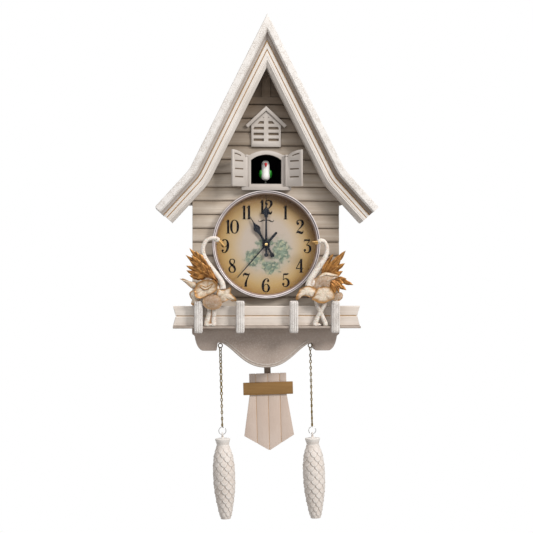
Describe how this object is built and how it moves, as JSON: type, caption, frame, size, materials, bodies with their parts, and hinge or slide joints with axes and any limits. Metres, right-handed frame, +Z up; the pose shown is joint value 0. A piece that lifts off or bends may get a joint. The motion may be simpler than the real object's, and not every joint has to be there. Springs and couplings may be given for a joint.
{
  "type": "pendulum wall clock",
  "caption": "Gabled house wall clock with a round dial, a cuckoo window with shutters, twin swans on a balcony, a swinging pendulum board and cone weights on chains.",
  "frame": {"origin": "the nail the clock hangs on: centre of the keyhole's top, in the plane of the wall", "axes": "+X to the right as seen from the front, +Y into the wall, +Z up"},
  "size_m": [0.316, 0.109, 0.7211],
  "materials": {
    "roof_paint": "white craquelure over taupe, two gold lines",
    "trim_paint": "pale taupe paint, fine brown grain",
    "siding_paint": "taupe paint wiped darker in the joints",
    "base_paint": "taupe paint, sponged speckle",
    "post_paint": "white craquelure",
    "pendulum_paint": "warm taupe paint, grooved planks",
    "bronze_paint": "brown gold paint",
    "dial_rim": "pale mauve enamel rim with a dark inner line",
    "dial_print": "antiqued print under glass",
    "clear_glass": "clear",
    "hand_black": "black, semi-gloss",
    "brass_parts": "antique brass",
    "bright_steel": "bright",
    "back_board": "dark brown sheet",
    "black_plastic": "black moulding",
    "white_plastic": "white moulding",
    "battery_skin": "printed sleeve",
    "bird_white": "white paint",
    "bird_green": "green paint",
    "bird_red": "red paint",
    "swan_resin": "cast resin, ivory paint rubbed with brown",
    "swan_gold": "copper gold paint over modelled feathers",
    "weight_resin": "pale pink taupe, darker between the scales"
  },
  "bodies": {
    "clock": {"roof_shell": "roof_paint", "roof_trim": "roof_paint", "gable_vent": "trim_paint", "vent_roof": "trim_paint", "window_frame": "trim_paint", "balcony_deck": "trim_paint", "balcony_rail": "trim_paint", "front_wall": "siding_paint", "case_shell": "siding_paint", "base_console": "base_paint", "rail_post_1": "post_paint", "rail_post_2": "post_paint", "rail_post_3": "post_paint", "rail_post_4": "post_paint", "dial_bezel": "dial_rim", "dial_plate": "dial_print", "dial_glass": "clear_glass", "movement_nut": "brass_parts", "chain_hook_left": "brass_parts", "chain_hook_right": "brass_parts", "shutter_pin_left": "bright_steel", "shutter_pin_right": "bright_steel", "cover_screw_1": "bright_steel", "cover_screw_2": "bright_steel", "cover_screw_3": "bright_steel", "back_cover": "back_board", "movement_case": "black_plastic", "pendulum_drive": "black_plastic", "chime_module": "black_plastic", "bird_chamber": "black_plastic", "cuckoo_solenoid": "black_plastic", "speaker": "black_plastic", "movement_battery": "battery_skin", "swan_left": "swan_resin", "swan_right": "swan_resin", "swan_left_wing": "swan_gold", "swan_right_wing": "swan_gold"},
    "pendulum": {"pendulum_rod": "bronze_paint", "pendulum_board": "pendulum_paint", "pendulum_band": "bronze_paint"},
    "minute": {"minute_hand": "hand_black", "minute_arbor": "brass_parts"},
    "hour": {"hour_hand": "hand_black", "hour_pipe": "brass_parts"},
    "sweep": {"second_hand": "hand_black"},
    "setting": {"set_knob": "white_plastic"},
    "cuckoo": {"cuckoo_body": "bird_white", "cuckoo_wings": "bird_green", "cuckoo_beak": "bird_red", "cuckoo_carriage": "black_plastic"},
    "left_shutter": {"shutter_left": "trim_paint"},
    "right_shutter": {"shutter_right": "trim_paint"},
    "left_chain": {"chain_left": "brass_parts", "weight_ring_left": "bright_steel"},
    "right_chain": {"chain_right": "brass_parts", "weight_ring_right": "bright_steel"},
    "left_weight": {"pine_weight_left": "weight_resin"},
    "right_weight": {"pine_weight_right": "weight_resin"},
    "door": {"battery_door": "back_board"},
    "switch": {"chime_switch": "white_plastic"}
  },
  "joints": [
    {"name": "pendulum_swing", "type": "hinge", "parent": "clock", "child": "pendulum", "pos_m": [0, -0.03, -0.212], "axis": [0, 1, 0], "range_deg": [-3.5, 6.5]},
    {"name": "minute_turn", "type": "hinge", "parent": "clock", "child": "minute", "pos_m": [0, -0.0727, -0.1905], "axis": [0, 1, 0], "continuous": true},
    {"name": "hour_turn", "type": "hinge", "parent": "clock", "child": "hour", "pos_m": [0, -0.0711, -0.1905], "axis": [0, 1, 0], "continuous": true},
    {"name": "sweep_turn", "type": "hinge", "parent": "clock", "child": "sweep", "pos_m": [0, -0.0743, -0.1905], "axis": [0, 1, 0], "continuous": true},
    {"name": "knob_turn", "type": "hinge", "parent": "clock", "child": "setting", "pos_m": [0, -0.048, -0.1935], "axis": [0, 1, 0], "continuous": true},
    {"name": "cuckoo_slide", "type": "slide", "parent": "clock", "child": "cuckoo", "axis": [0, 1, 0], "range_m": [0, 0.018]},
    {"name": "left_shutter_turn", "type": "hinge", "parent": "clock", "child": "left_shutter", "pos_m": [-0.0288, -0.0794, -0.085], "axis": [0, 0, 1], "range_deg": [0, 139]},
    {"name": "right_shutter_turn", "type": "hinge", "parent": "clock", "child": "right_shutter", "pos_m": [0.0288, -0.0794, -0.085], "axis": [0, 0, -1], "range_deg": [0, 139]},
    {"name": "left_chain_swing", "type": "hinge", "parent": "clock", "child": "left_chain", "pos_m": [-0.065, -0.052, -0.339], "axis": [0, 1, 0], "range_deg": [-4.6, 7.4]},
    {"name": "right_chain_swing", "type": "hinge", "parent": "clock", "child": "right_chain", "pos_m": [0.065, -0.052, -0.339], "axis": [0, 1, 0], "range_deg": [-4.6, 7.4]},
    {"name": "left_weight_swing", "type": "hinge", "parent": "left_chain", "child": "left_weight", "pos_m": [-0.06196, -0.052, -0.46346], "axis": [0, 1, 0], "range_deg": [-5.7, 10.3]},
    {"name": "right_weight_swing", "type": "hinge", "parent": "right_chain", "child": "right_weight", "pos_m": [0.06804, -0.052, -0.46346], "axis": [0, 1, 0], "range_deg": [-5.7, 10.3]},
    {"name": "door_slide", "type": "slide", "parent": "clock", "child": "door", "axis": [0, 0, -1], "range_m": [0, 0.015]},
    {"name": "switch_slide", "type": "slide", "parent": "clock", "child": "switch", "axis": [1, 0, 0], "range_m": [0, 0.004]}
  ],
  "couplings": [
    {"joint": "hour_turn", "follows": "minute_turn", "ratio": 0.083333},
    {"joint": "knob_turn", "follows": "minute_turn", "ratio": -1},
    {"joint": "left_shutter_turn", "follows": "cuckoo_slide", "rad_per_m": 134.77},
    {"joint": "right_shutter_turn", "follows": "cuckoo_slide", "rad_per_m": 134.77}
  ]
}
